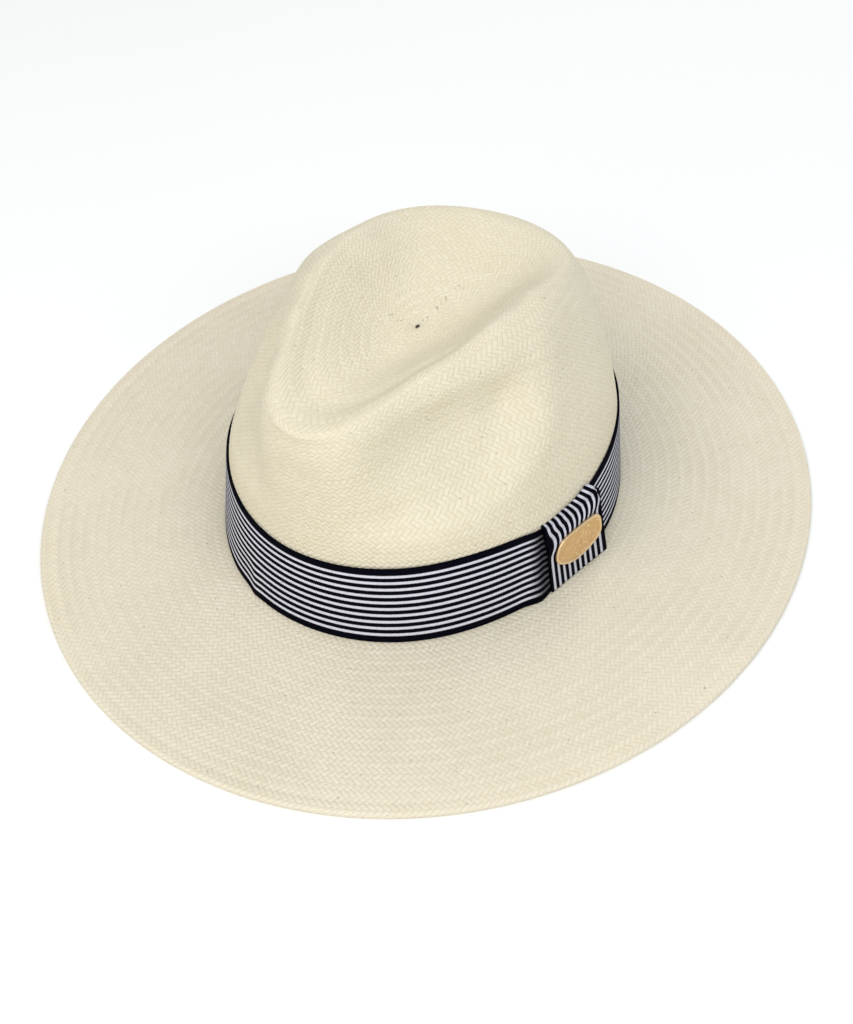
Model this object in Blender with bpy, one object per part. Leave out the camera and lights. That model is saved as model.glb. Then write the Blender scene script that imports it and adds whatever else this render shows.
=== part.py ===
"""A wide-brimmed fedora of woven straw, with a striped ribbon round the crown.

The hat rests on the folded hem of its brim. Its front looks along -Y, the wearer's left is +X and
up is +Z. The origin lies on the surface it rests on, under the middle of the brim.

An angle round the hat is measured from the front towards the wearer's left, so 0 is the front,
90 the left side and 180 the back. Sizes are in millimetres up to the point where a mesh is made.
"""

import math

import bmesh
import bpy
import numpy as np

MM = 0.001

# Woven straw
STRAW = 1.6
HEM_WIDTH = 6.0
HEM_THICKNESS = 3.0
HEM_ROUNDING = 0.9
HEM_STEP = 0.5

# Brim: an oval
BRIM_HALF_WIDTH = 168.0
BRIM_HALF_LENGTH = 186.5
BRIM_ROWS = (0.25, 0.5, 0.75, 0.92)

# Ribbon round the foot of the crown, measured on its outer face at its lower edge
RIBBON_HALF_WIDTH = 83.6
RIBBON_HALF_LENGTH = 103.0
RIBBON_WIDTH = 40.0
RIBBON_THICKNESS = 1.0
RIBBON_TAPER = 3.4
RIBBON_FOOT = 5.2
RIBBON_FOOT_RISE = 2.0
RIBBON_GATHER = 4.0
GATHER_SPREAD = 17.0
CLEARANCE = 0.35

# The crown stands a little ahead of the brim's middle and leans back
CROWN_LEAN = math.radians(1.24)
CROWN_LIFT = 1.5
CROWN_AHEAD = 4.0

# Angles round the hat at which the crown's sections are given
STATIONS = (0, 12, 24, 36, 48, 60, 75, 90, 115, 147, 180)

# Crown wall: the share of the way up from the ribbon to the crest, then the distance from the
# crown's axis at each station. The hollow between 24 and 75 degrees is the pinch beside the nose.
WALL = (
    (0.20, (98.3, 97.0, 93.0, 88.0, 82.5, 78.5, 75.5, 75.0, 79.5, 87.5, 96.5)),
    (0.42, (98.5, 97.0, 89.0, 79.0, 73.0, 71.5, 70.5, 70.0, 74.5, 85.0, 93.0)),
    (0.64, (99.0, 97.0, 81.0, 68.5, 63.5, 60.5, 62.5, 63.5, 67.0, 81.5, 89.5)),
    (0.82, (100.5, 95.5, 76.0, 65.0, 59.5, 57.0, 57.0, 58.0, 60.5, 76.0, 84.5)),
    (0.94, (101.0, 93.5, 73.5, 62.5, 56.0, 52.5, 51.0, 52.0, 54.5, 71.0, 80.0)),
)

# Crest of the teardrop crown: its distance from the axis and its height at each station
CREST_REACH = (99.5, 89.0, 68.5, 58.5, 51.5, 48.0, 45.5, 45.5, 49.0, 67.0, 73.0)
CREST_HEIGHT = (112.0, 115.0, 117.5, 119.0, 119.5, 120.5, 120.5, 119.0, 115.5, 107.5, 104.0)

# Dent inside the crest: share of the crest's reach, share of the way down to the floor
DENT = ((0.92, -0.04), (0.82, 0.09), (0.68, 0.36), (0.48, 0.70), (0.25, 0.96))
FLOOR_HEIGHT = 98.7
FLOOR_FALL = 0.025
FLOOR_HALF_WIDTH = 47.0
FLOOR_HALF_LENGTH = 84.0

# Mesh fineness
AROUND = 72
FRONT_CROWDING = 0.36
STEPS_BETWEEN_ROWS = 2
LEAST_MITRE = 0.6
SHARP_EDGE = math.radians(40)

# Loop of the same ribbon that covers the ribbon's joint, turned a quarter so its stripes stand
KEEPER_MIDDLE = 76.5
KEEPER_SLANT = 3.2
KEEPER_HALF_ANGLE = 11.2
KEEPER_FLARE = 0.7
KEEPER_THICKNESS = 1.0
KEEPER_STAND_OFF = 1.0
KEEPER_REAR_LIFT = 1.5
KEEPER_BOW = 1.4
KEEPER_FOOT = 0.5
KEEPER_ROLL = 1.4
KEEPER_ROLL_DROP = 0.4
KEEPER_ROWS = (0.2, 0.4, 0.6, 0.8, 0.95)
KEEPER_COLUMNS = 12

# Oval metal plate on the loop
BADGE_HALF_LENGTH = 14.8
BADGE_HALF_HEIGHT = 11.0
BADGE_THICKNESS = 1.0
BADGE_HEIGHT = 20.6
BADGE_ANGLE = 77.4
BADGE_SIDES = 40
BADGE_RIM_WIDTH = 1.2
BADGE_RIM_HEIGHT = 0.3
BADGE_BEVEL = 0.3
BADGE_INNER_RING = 6.0

STRAW_COLOUR = (0.80, 0.74, 0.58, 1.0)
NAVY = (0.010, 0.011, 0.022, 1.0)
GOLD = (0.72, 0.47, 0.22, 1.0)


def clear_scene():
    """Remove every object of the startup scene."""
    for thing in list(bpy.data.objects):
        bpy.data.objects.remove(thing, do_unlink=True)


def spline(knots, rows, at, flat_ends):
    """Cubic spline through rows of values at the knots; the ends are level or free."""
    knots = np.asarray(knots, float)
    rows = np.asarray(rows, float)
    step = np.diff(knots)
    slope = np.diff(rows, axis=0) / step[:, None]
    count = len(knots)
    system = np.eye(count)
    right = np.zeros_like(rows)
    for i in range(1, count - 1):
        system[i, i - 1 : i + 2] = step[i - 1], 2 * (step[i - 1] + step[i]), step[i]
        right[i] = 6 * (slope[i] - slope[i - 1])
    if flat_ends:
        system[0, :2] = 2 * step[0], step[0]
        system[-1, -2:] = step[-1], 2 * step[-1]
        right[0], right[-1] = 6 * slope[0], -6 * slope[-1]
    bend = np.linalg.solve(system, right)
    span = np.clip(np.searchsorted(knots, at, side="right") - 1, 0, count - 2)
    width = step[span][:, None]
    before = (knots[span + 1] - at)[:, None]
    after = (at - knots[span])[:, None]
    cubic = (bend[span] * before**3 + bend[span + 1] * after**3) / (6 * width)
    left = (rows[span] / width - bend[span] * width / 6) * before
    return cubic + left + (rows[span + 1] / width - bend[span + 1] * width / 6) * after


def angles_round():
    """Angles of the mesh's meridians, closer together at the front where the nose is narrow."""
    turn = np.arange(AROUND) * 2 * math.pi / AROUND
    return turn - FRONT_CROWDING * np.sin(turn)


def oval(half_width, half_length, angle):
    """Distance from the centre to an oval at an angle from the front."""
    return 1 / np.hypot(np.sin(angle) / half_width, np.cos(angle) / half_length)


def at_station(values, angle):
    """A row of the tables above at any angle: the two sides of the hat are alike."""
    degrees = np.degrees(np.abs((angle + math.pi) % (2 * math.pi) - math.pi))
    return spline(STATIONS, np.array(values, float)[:, None], degrees, True)[:, 0]


def place(reach, height, angle):
    """Points at a distance from the crown's axis and a height, set on the brim with the crown."""
    x = reach * np.sin(angle)
    y = -reach * np.cos(angle)
    z = height + 0 * x
    tip, rise = math.sin(CROWN_LEAN), math.cos(CROWN_LEAN)
    leaned = y * rise + z * tip - CROWN_AHEAD
    return np.stack([x, leaned, z * rise - y * tip + CROWN_LIFT], axis=-1)


def ribbon_ring(share, offset, angle):
    """Points round the ribbon's outer face, a share of the way up it and offset outwards."""
    shrink = RIBBON_TAPER * share - offset
    reach = oval(RIBBON_HALF_WIDTH - shrink, RIBBON_HALF_LENGTH - shrink, angle)
    from_keeper = (np.degrees(angle) - KEEPER_MIDDLE) / GATHER_SPREAD
    width = RIBBON_WIDTH - RIBBON_GATHER * np.exp(-(from_keeper**2))
    height = RIBBON_FOOT + RIBBON_FOOT_RISE * np.cos(angle) + width * share
    return reach, height


def crown_rows(angle):
    """Reach and height of the crown's rows, from the ribbon's upper edge to the dent's middle."""
    behind_ribbon = -RIBBON_THICKNESS - CLEARANCE
    reach, foot = ribbon_ring(1.0, behind_ribbon, angle)
    crest = at_station(CREST_REACH, angle)
    top = at_station(CREST_HEIGHT, angle)
    rows = [(reach, foot)]
    rows += [(at_station(row, angle), foot + rise * (top - foot)) for rise, row in WALL]
    rows.append((crest, top))
    bowl = oval(FLOOR_HALF_WIDTH, FLOOR_HALF_LENGTH, angle)
    for share, drop in DENT:
        reach = share * (crest * share + bowl * (1 - share))
        floor = FLOOR_HEIGHT + FLOOR_FALL * reach * np.cos(angle)
        rows.append((reach, top + (floor - top) * drop))
    rows.append((0 * angle, FLOOR_HEIGHT + 0 * angle))
    return np.array(rows)


def crown_surface(angle):
    """Rings of points over the crown's outside, smooth through the rows."""
    rows = crown_rows(angle)
    gaps = np.hypot(*np.diff(rows, axis=0).transpose(1, 0, 2)).mean(axis=1)
    knots = np.concatenate([[0], np.cumsum(gaps)])
    between = [
        np.linspace(start, end, STEPS_BETWEEN_ROWS, endpoint=False)
        for start, end in zip(knots[:-1], knots[1:])
    ]
    at = np.concatenate(between + [knots[-1:]])
    flat = rows.reshape(len(rows), -1)
    smooth = spline(knots, flat, at, False).reshape(len(at), 2, -1)
    return [place(reach, height, angle) for reach, height in smooth]


def brim_edge(inset, height, angle):
    """A ring parallel to the brim's edge, an inset inside it."""
    x = (BRIM_HALF_WIDTH - inset) * np.sin(angle)
    y = -(BRIM_HALF_LENGTH - inset) * np.cos(angle)
    return np.stack([x, y, np.full_like(x, height)], axis=-1)


def outside_rings(angle):
    """The hat's upper and outer face, from the hem's upper corner to the middle of the dent."""
    corner = brim_edge(HEM_ROUNDING, HEM_THICKNESS, angle)
    reach, height = ribbon_ring(0.0, -RIBBON_THICKNESS - CLEARANCE, angle)
    crown_foot = place(reach, height - CLEARANCE, angle)
    hem_line = brim_edge(HEM_WIDTH + HEM_STEP, HEM_THICKNESS, angle)
    hem_line[:, 2] += (crown_foot - corner)[:, 2] * HEM_WIDTH / BRIM_HALF_WIDTH
    rings = [corner, hem_line]
    rings += [hem_line + (crown_foot - hem_line) * share for share in BRIM_ROWS]
    return rings + [crown_foot] + crown_surface(angle)


def inward_offset(rings, distance):
    """The same rings moved through the wall, square to the surface, with mitred corners."""
    grid = np.array(rings)
    around = np.roll(grid, -1, axis=1) - grid
    along = grid[1:] - grid[:-1]
    facing = np.cross((around[1:] + around[:-1]) / 2, (along + np.roll(along, -1, axis=1)) / 2)
    facing /= np.linalg.norm(facing, axis=2, keepdims=True)
    sides = facing + np.roll(facing, 1, axis=1)
    sides /= np.linalg.norm(sides, axis=2, keepdims=True)
    below = np.concatenate([sides[:1], sides])
    above = np.concatenate([sides, sides[-1:]])
    normal = below + above
    normal /= np.linalg.norm(normal, axis=2, keepdims=True)
    mitre = 1 / np.maximum((normal * below).sum(axis=2, keepdims=True), LEAST_MITRE)
    return list(grid - normal * mitre * distance)


def make_object(name, mesh_builder, colour, roughness, metallic):
    """Turn a bmesh in millimetres into a named object with its own material."""
    bmesh.ops.scale(mesh_builder, vec=(MM, MM, MM), verts=mesh_builder.verts)
    bmesh.ops.recalc_face_normals(mesh_builder, faces=mesh_builder.faces)
    mesh = bpy.data.meshes.new(name)
    mesh_builder.to_mesh(mesh)
    mesh_builder.free()
    mesh.shade_smooth()
    mesh.set_sharp_from_angle(angle=SHARP_EDGE)
    material = bpy.data.materials.new(name)
    material.use_nodes = True
    shader = material.node_tree.nodes["Principled BSDF"]
    shader.inputs["Base Color"].default_value = colour
    shader.inputs["Roughness"].default_value = roughness
    shader.inputs["Metallic"].default_value = metallic
    mesh.materials.append(material)
    thing = bpy.data.objects.new(name, mesh)
    bpy.context.scene.collection.objects.link(thing)
    return thing


def add_rings(mesh_builder, rings):
    """Add rings of points and return their vertices."""
    return [[mesh_builder.verts.new(tuple(point)) for point in ring] for ring in rings]


def join_rings(mesh_builder, rings):
    """Fill between neighbouring closed rings with four-sided faces."""
    for lower, upper in zip(rings[:-1], rings[1:]):
        for i, corner in enumerate(lower):
            j = (i + 1) % len(lower)
            mesh_builder.faces.new((corner, lower[j], upper[j], upper[i]))


def close_ring(mesh_builder, ring, centre):
    """Fill a closed ring with triangles that meet at a centre point."""
    tip = mesh_builder.verts.new(tuple(centre))
    for i, corner in enumerate(ring):
        mesh_builder.faces.new((corner, ring[(i + 1) % len(ring)], tip))


def build_straw_body():
    """Brim and crown, woven in one piece, hollow, with the brim's edge folded under as a hem."""
    angle = angles_round()
    outside = outside_rings(angle)
    inside = inward_offset(outside, STRAW)
    top, bottom = outside[-1][0], inside[-1].mean(axis=0)
    rim = brim_edge(0.0, HEM_THICKNESS / 2, angle)
    hem_under = [
        brim_edge(HEM_ROUNDING, 0.0, angle),
        brim_edge(HEM_WIDTH, 0.0, angle),
    ]
    builder = bmesh.new()
    under = add_rings(builder, inside[1:-1])
    edge = add_rings(builder, hem_under[::-1] + [rim])
    over = add_rings(builder, outside[:-1])
    join_rings(builder, under[::-1] + edge + over)
    close_ring(builder, over[-1], top)
    close_ring(builder, under[-1], bottom)
    return make_object("straw_body", builder, STRAW_COLOUR, 0.6, 0.0)


def build_hat_band():
    """The ribbon: one closed strip round the foot of the crown."""
    angle = angles_round()
    corners = ((0.0, 0.0), (1.0, 0.0), (1.0, -RIBBON_THICKNESS), (0.0, -RIBBON_THICKNESS))
    rings = [place(*ribbon_ring(share, offset, angle), angle) for share, offset in corners]
    builder = bmesh.new()
    strip = add_rings(builder, rings)
    join_rings(builder, strip + strip[:1])
    return make_object("hat_band", builder, NAVY, 0.7, 0.0)


def keeper_angle(across, share):
    """Angle round the hat at a place on the loop: across runs from -1 in front to 1 behind."""
    middle = KEEPER_MIDDLE + KEEPER_SLANT * (0.5 - share)
    half = KEEPER_HALF_ANGLE + KEEPER_FLARE * (0.5 - share)
    return np.radians(middle + half * across)


def keeper_stand_off(across):
    """How far the loop's outer face stands off the ribbon: flat in front, lifted behind."""
    return KEEPER_STAND_OFF + KEEPER_THICKNESS + KEEPER_REAR_LIFT * across + KEEPER_BOW * across**2


def keeper_point(across, share, inwards):
    """A point of the loop, a share of the way up the ribbon and inwards from its outer face."""
    angle = keeper_angle(across, share)
    offset = keeper_stand_off(across) - inwards
    reach, height = ribbon_ring(share, offset, angle)
    return place(reach, height, angle)


def build_band_keeper():
    """The loop: a flat panel that rolls over the ribbon's upper edge."""
    across = np.linspace(-1, 1, KEEPER_COLUMNS + 1)
    foot = KEEPER_FOOT / RIBBON_WIDTH
    lip = 1 + CLEARANCE / RIBBON_WIDTH
    over = 1 + (CLEARANCE + KEEPER_THICKNESS) / RIBBON_WIDTH
    rows = (foot,) + KEEPER_ROWS
    inner_reach = keeper_stand_off(across) + RIBBON_THICKNESS
    outer = [(share, 0 * across) for share in rows]
    shoulder = over - KEEPER_ROLL_DROP / RIBBON_WIDTH
    outer += [(shoulder, KEEPER_ROLL_DROP + 0 * across), (over, KEEPER_ROLL + 0 * across)]
    outer += [(over, inner_reach)]
    inner = [(lip, inner_reach), (lip, KEEPER_THICKNESS + 0 * across)]
    inner += [(share, KEEPER_THICKNESS + 0 * across) for share in rows[::-1]]
    path = outer + inner
    builder = bmesh.new()
    columns = []
    for k, place_across in enumerate(across):
        points = [keeper_point(place_across, share, depth[k]) for share, depth in path]
        columns.append([builder.verts.new(tuple(point)) for point in points])
    join_rings(builder, columns)
    builder.faces.new(columns[0])
    builder.faces.new(columns[-1])
    return make_object("band_keeper", builder, NAVY, 0.7, 0.0)


def badge_point(x, y, out):
    """A point of the badge, x back along the ribbon and y up it, raised off the loop."""
    share = (BADGE_HEIGHT + y) / RIBBON_WIDTH
    reach, height = ribbon_ring(share, 0.0, math.radians(BADGE_ANGLE))
    angle = math.radians(BADGE_ANGLE) + x / reach
    middle = math.radians(KEEPER_MIDDLE + KEEPER_SLANT * (0.5 - share))
    across = (angle - middle) / math.radians(KEEPER_HALF_ANGLE)
    offset = keeper_stand_off(across) + CLEARANCE + out
    reach, height = ribbon_ring(share, offset, angle)
    return place(reach, height, angle)


def build_badge():
    """Oval metal plate, bent to the loop, with a raised border round a bare field.

    Each row of the profile is an inset from the plate's edge and a height off its back.
    """
    turn = np.arange(BADGE_SIDES) * 2 * math.pi / BADGE_SIDES
    top = BADGE_THICKNESS
    rim = top + BADGE_RIM_HEIGHT
    profile = (
        (BADGE_INNER_RING, 0.0),
        (0.0, 0.0),
        (0.0, rim - BADGE_BEVEL),
        (BADGE_BEVEL, rim),
        (BADGE_RIM_WIDTH, rim),
        (BADGE_RIM_WIDTH + BADGE_BEVEL, top),
        (BADGE_INNER_RING, top),
    )
    rings = []
    for inset, out in profile:
        x = (BADGE_HALF_LENGTH - inset) * np.cos(turn)
        y = (BADGE_HALF_HEIGHT - inset) * np.sin(turn)
        rings.append([badge_point(a, b, out) for a, b in zip(x, y)])
    builder = bmesh.new()
    loops = add_rings(builder, rings)
    join_rings(builder, loops)
    close_ring(builder, loops[0], badge_point(0, 0, 0.0))
    close_ring(builder, loops[-1], badge_point(0, 0, top))
    return make_object("badge", builder, GOLD, 0.35, 1.0)


def main():
    """Build the hat's pieces."""
    clear_scene()
    build_straw_body()
    build_hat_band()
    build_band_keeper()
    build_badge()


main()
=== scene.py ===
"""The looks of a straw fedora with a striped ribbon round its crown.

The hat's front looks along -Y, the wearer's left is +X and up is +Z. It rests on the folded hem of
its brim, and the origin lies under the middle of the brim. An angle round the hat is measured from
the front towards the wearer's left. Sizes are in millimetres up to the point where a mesh is made.

The straw is woven in twill whose strands cross at a slant, so that it reads as rings of chevrons.
Its place in the weave is given by a level, which counts across the rings, and a column, which
counts round them: four levels are one ring of chevrons and two columns are one chevron.
"""

from __future__ import annotations

import logging
import math
from collections.abc import Callable
from dataclasses import dataclass
from enum import Enum
from functools import cached_property

import bpy
import numpy as np
from mathutils import Matrix, Vector


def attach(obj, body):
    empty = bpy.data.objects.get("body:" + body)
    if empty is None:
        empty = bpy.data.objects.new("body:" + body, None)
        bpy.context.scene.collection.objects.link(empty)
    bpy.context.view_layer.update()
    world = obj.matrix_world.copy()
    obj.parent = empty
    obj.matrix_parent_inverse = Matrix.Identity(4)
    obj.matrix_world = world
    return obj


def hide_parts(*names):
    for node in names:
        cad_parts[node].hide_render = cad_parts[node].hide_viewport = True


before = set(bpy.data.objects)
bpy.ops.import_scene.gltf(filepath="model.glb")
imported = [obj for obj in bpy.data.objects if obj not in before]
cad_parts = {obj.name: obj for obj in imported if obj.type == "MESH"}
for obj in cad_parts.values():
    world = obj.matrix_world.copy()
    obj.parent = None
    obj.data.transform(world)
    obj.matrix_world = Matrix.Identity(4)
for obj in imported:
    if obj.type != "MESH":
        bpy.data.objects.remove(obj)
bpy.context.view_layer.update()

log = logging.getLogger("fedora")

Array = np.ndarray
Pair = tuple[float, float]
Colour = tuple[float, ...]
Surface = Callable[[float, Array], Array]

MM = 0.001
FULL_TURN = 2 * math.pi
GOLDEN_TURN = math.pi * (3 - math.sqrt(5))
BODY = "root"
AROUND_RING = 720
FAR = 1e9
TINY = 1e-9


class Slot(Enum):
    """Material slots of the record that a piece takes its finish from."""

    STRAW = "straw"
    RIBBON = "ribbon"
    PLATE = "plate"


def ease(value: Array | float, low: float, high: float) -> Array:
    """Ease from 0 at the low value to 1 at the high one."""
    share = np.clip((value - low) / (high - low), 0, 1)
    return share * share * (3 - 2 * share)


@dataclass(frozen=True)
class Swell:
    """A soft hump: its middle, how far it spreads to each side, and its height."""

    middle: float
    spread: float
    height: float = 1.0

    def at(self, value: Array | float) -> Array:
        """Height of the hump at a value."""
        return self.height * np.exp(-(((value - self.middle) / self.spread) ** 2))


@dataclass(frozen=True)
class Stretch:
    """A stretch with soft ends: it fades in from start to full, and out from waning to end."""

    start: float
    full: float
    waning: float
    end: float

    def at(self, value: Array | float) -> Array:
        """Share of the stretch at a value, from 0 to 1."""
        return ease(value, self.start, self.full) * (1 - ease(value, self.waning, self.end))


def oval(half_width: Array | float, half_length: Array | float, angle: Array) -> Array:
    """Distance from the centre to an oval, half of whose width and length are given."""
    return 1 / np.hypot(np.sin(angle) / half_width, np.cos(angle) / half_length)


def whole_ring(steps: int = AROUND_RING) -> Array:
    """Angles from the back round to the back again."""
    return np.linspace(-math.pi, math.pi, steps + 1)


def walk(around: Array) -> Array:
    """Distances walked round a ring, from its first point to each one."""
    return np.concatenate([[0], np.cumsum(np.linalg.norm(np.diff(around, axis=0), axis=1))])


def spread_evenly(around: Array, count: int, phase: float = 0.0) -> Array:
    """Find the angles at which points stand evenly round a ring.

    Args:
        around: Points round the ring at equal angles, from the back round to the back again.
        count: How many points stand round it.
        phase: Where the first one stands, in steps.

    Returns:
        Their angles, from minus to plus half a turn.
    """
    walked = walk(around)
    places = (np.arange(count) + phase) / count * walked[-1]
    return np.interp(places, walked, whole_ring(len(around) - 1))


def spline(knots: Array, rows: Array, at: Array, flat_ends: bool) -> Array:
    """Draw a cubic spline through rows of values.

    Args:
        knots: Where each row stands.
        rows: The values at each knot, one row a knot.
        at: Places at which the spline is read.
        flat_ends: Whether the spline runs level into its ends.

    Returns:
        One row of values for each place.
    """
    knots = np.asarray(knots, float)
    step = np.diff(knots)
    slope = np.diff(rows, axis=0) / step[:, None]
    count = len(knots)
    system = np.eye(count)
    right = np.zeros_like(rows)
    for i in range(1, count - 1):
        system[i, i - 1 : i + 2] = step[i - 1], 2 * (step[i - 1] + step[i]), step[i]
        right[i] = 6 * (slope[i] - slope[i - 1])
    if flat_ends:
        system[0, :2] = 2 * step[0], step[0]
        system[-1, -2:] = step[-1], 2 * step[-1]
        right[0], right[-1] = 6 * slope[0], -6 * slope[-1]
    bend = np.linalg.solve(system, right)
    span = np.clip(np.searchsorted(knots, at, side="right") - 1, 0, count - 2)
    width = step[span][:, None]
    before = (knots[span + 1] - at)[:, None]
    after = (at - knots[span])[:, None]
    cubic = (bend[span] * before**3 + bend[span + 1] * after**3) / (6 * width)
    left = (rows[span] / width - bend[span] * width / 6) * before
    return cubic + left + (rows[span + 1] / width - bend[span + 1] * width / 6) * after


@dataclass(frozen=True)
class HatForm:
    """The hat's true shape, as in the solids: brim, ring of the ribbon and teardrop crown.

    Attributes:
        stations: Angles from the front at which the crown's wall and crest are given.
        wall_rises: How far up to the crest each row of the wall is, as a share.
        wall_reaches: Distances from the crown's axis in each of those rows.
        dent: Rows inside the crest: share of the way out, and share of the way down.
        meridians: Number of angles over which distances are averaged.
        front_crowding: How much closer those angles stand at the front.
    """

    straw: float = 1.6
    clearance: float = 0.35
    hem_width: float = 6.0
    hem_thickness: float = 3.0
    hem_rounding: float = 0.9
    hem_step: float = 0.5
    brim_half_width: float = 168.0
    brim_half_length: float = 186.5
    ribbon_half_width: float = 83.6
    ribbon_half_length: float = 103.0
    ribbon_width: float = 40.0
    ribbon_thickness: float = 1.0
    ribbon_taper: float = 3.4
    ribbon_foot: float = 5.2
    ribbon_foot_rise: float = 2.0
    gather: Swell = Swell(76.5, 17.0, 4.0)
    crown_lean: float = math.radians(1.24)
    crown_lift: float = 1.5
    crown_ahead: float = 4.0
    stations: tuple[float, ...] = (0, 12, 24, 36, 48, 60, 75, 90, 115, 147, 180)
    wall_rises: tuple[float, ...] = (0.20, 0.42, 0.64, 0.82, 0.94)
    wall_reaches: tuple[tuple[float, ...], ...] = (
        (98.3, 97.0, 93.0, 88.0, 82.5, 78.5, 75.5, 75.0, 79.5, 87.5, 96.5),
        (98.5, 97.0, 89.0, 79.0, 73.0, 71.5, 70.5, 70.0, 74.5, 85.0, 93.0),
        (99.0, 97.0, 81.0, 68.5, 63.5, 60.5, 62.5, 63.5, 67.0, 81.5, 89.5),
        (100.5, 95.5, 76.0, 65.0, 59.5, 57.0, 57.0, 58.0, 60.5, 76.0, 84.5),
        (101.0, 93.5, 73.5, 62.5, 56.0, 52.5, 51.0, 52.0, 54.5, 71.0, 80.0),
    )
    crest_reach: tuple[float, ...] = (99.5, 89, 68.5, 58.5, 51.5, 48, 45.5, 45.5, 49, 67, 73)
    crest_height: tuple[float, ...] = (112, 115, 117.5, 119, 119.5, 120.5, 120.5, 119, 115.5, 107.5, 104)
    dent: tuple[Pair, ...] = ((0.92, -0.04), (0.82, 0.09), (0.68, 0.36), (0.48, 0.70), (0.25, 0.96))
    floor_height: float = 98.7
    floor_fall: float = 0.025
    floor_half_width: float = 47.0
    floor_half_length: float = 84.0
    meridians: int = 72
    front_crowding: float = 0.36

    @property
    def behind_ribbon(self) -> float:
        """Where the straw lies behind the ribbon, measured from the ribbon's outer face."""
        return -self.ribbon_thickness - self.clearance

    @property
    def hem_inset(self) -> float:
        """Distance of the hem's inner edge inside the brim's edge."""
        return self.hem_width + self.hem_step

    def place(self, reach: Array, height: Array, angle: Array) -> Array:
        """Set points of the leaning crown on the brim.

        Args:
            reach: Distances from the crown's axis.
            height: Heights along that axis.
            angle: Angles from the front.

        Returns:
            Points, one row each.
        """
        x = reach * np.sin(angle)
        y = -reach * np.cos(angle)
        z = height + 0 * x
        tip, rise = math.sin(self.crown_lean), math.cos(self.crown_lean)
        leaned = y * rise + z * tip - self.crown_ahead
        return np.stack([x, leaned, z * rise - y * tip + self.crown_lift], axis=-1)

    def ribbon_ring(self, share: float, offset: Array | float, angle: Array) -> Array:
        """Follow the ribbon's outer face round the crown.

        Args:
            share: How far up the ribbon, from 0 to 1.
            offset: How far outside its outer face.
            angle: Angles from the front.

        Returns:
            The reach and the height at each angle.
        """
        shrink = self.ribbon_taper * share - offset
        reach = oval(self.ribbon_half_width - shrink, self.ribbon_half_length - shrink, angle)
        width = self.ribbon_width - self.gather.at(np.degrees(angle))
        height = self.ribbon_foot + self.ribbon_foot_rise * np.cos(angle) + width * share
        return np.array([reach, height])

    def crown_rows(self, angle: Array) -> Array:
        """Give the rows that the crown's outside passes through.

        Args:
            angle: Angles from the front.

        Returns:
            The reach and height of each row at each angle.
        """
        foot_reach, foot = self.ribbon_ring(1.0, self.behind_ribbon, angle)
        table = np.array([*self.wall_reaches, self.crest_reach, self.crest_height]).T
        *wall, crest, top = spline(self.stations, table, np.degrees(np.abs(angle)), True).T
        rows = [(foot_reach, foot)]
        rows += [(row, foot + rise * (top - foot)) for rise, row in zip(self.wall_rises, wall)]
        rows.append((crest, top))
        bowl = oval(self.floor_half_width, self.floor_half_length, angle)
        for share, drop in self.dent:
            reach = share * (crest * share + bowl * (1 - share))
            floor = self.floor_height + self.floor_fall * reach * np.cos(angle)
            rows.append((reach, top + (floor - top) * drop))
        rows.append((0 * angle, self.floor_height + 0 * angle))
        return np.array(rows)

    @cached_property
    def crown_knots(self) -> Array:
        """Mean distance of each row along the crown's outside, from the ribbon's upper edge."""
        turn = np.arange(self.meridians) * FULL_TURN / self.meridians
        angle = turn - self.front_crowding * np.sin(turn)
        angle = (angle + math.pi) % FULL_TURN - math.pi
        gaps = np.diff(self.crown_rows(angle), axis=0).transpose(1, 0, 2)
        return np.concatenate([[0], np.cumsum(np.hypot(*gaps).mean(axis=1))])

    def crown_point(self, at: float, angle: Array) -> Array:
        """Find points of the crown's outside.

        Args:
            at: Mean distance up from the ribbon's upper edge; below 0 is behind the ribbon.
            angle: Angles from the front.

        Returns:
            Points, one row each.
        """
        if at < 0:
            hidden = self.ribbon_ring(1 + at / self.ribbon_width, self.behind_ribbon, angle)
            return self.place(*hidden, angle)
        knots = self.crown_knots
        share = spline(knots, np.eye(len(knots)), np.array([at]), False)[0]
        reach, height = np.tensordot(share, self.crown_rows(angle), 1)
        return self.place(reach, height, angle)

    def brim_edge(self, inset: float, height: Array | float, angle: Array) -> Array:
        """Follow the brim's edge.

        Args:
            inset: How far inside the edge.
            height: Height above what the hat rests on.
            angle: Angles from the front.

        Returns:
            Points, one row each.
        """
        x = (self.brim_half_width - inset) * np.sin(angle)
        y = -(self.brim_half_length - inset) * np.cos(angle)
        return np.stack([x, y, height + 0 * x], axis=-1)

    def crown_foot(self, angle: Array) -> Array:
        """Points where the brim meets the crown, behind the ribbon's lower edge."""
        reach, height = self.ribbon_ring(0.0, self.behind_ribbon, angle)
        return self.place(reach, height - self.clearance, angle)

    def hem_line(self, angle: Array) -> Array:
        """Find points of the brim's upper face over the inner edge of the folded hem.

        Args:
            angle: Angles from the front.

        Returns:
            Points, one row each.
        """
        rise = self.crown_foot(angle)[:, 2] - self.hem_thickness
        height = self.hem_thickness + rise * self.hem_width / self.brim_half_width
        return self.brim_edge(self.hem_inset, height, angle)

    def brim_top(self, inset: float, angle: Array) -> Array:
        """Find points of the brim's upper face.

        Args:
            inset: Mean distance inside the brim's edge.
            angle: Angles from the front.

        Returns:
            Points, one row each.
        """
        line = self.hem_line(angle)
        if inset >= self.hem_inset:
            share = (inset - self.hem_inset) / self.brim_reach
            return line + (self.crown_foot(angle) - line) * share
        share = max((inset - self.hem_rounding) / (self.hem_inset - self.hem_rounding), 0)
        height = self.hem_thickness + (line[:, 2] - self.hem_thickness) * share
        return self.brim_edge(inset, height, angle)

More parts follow.
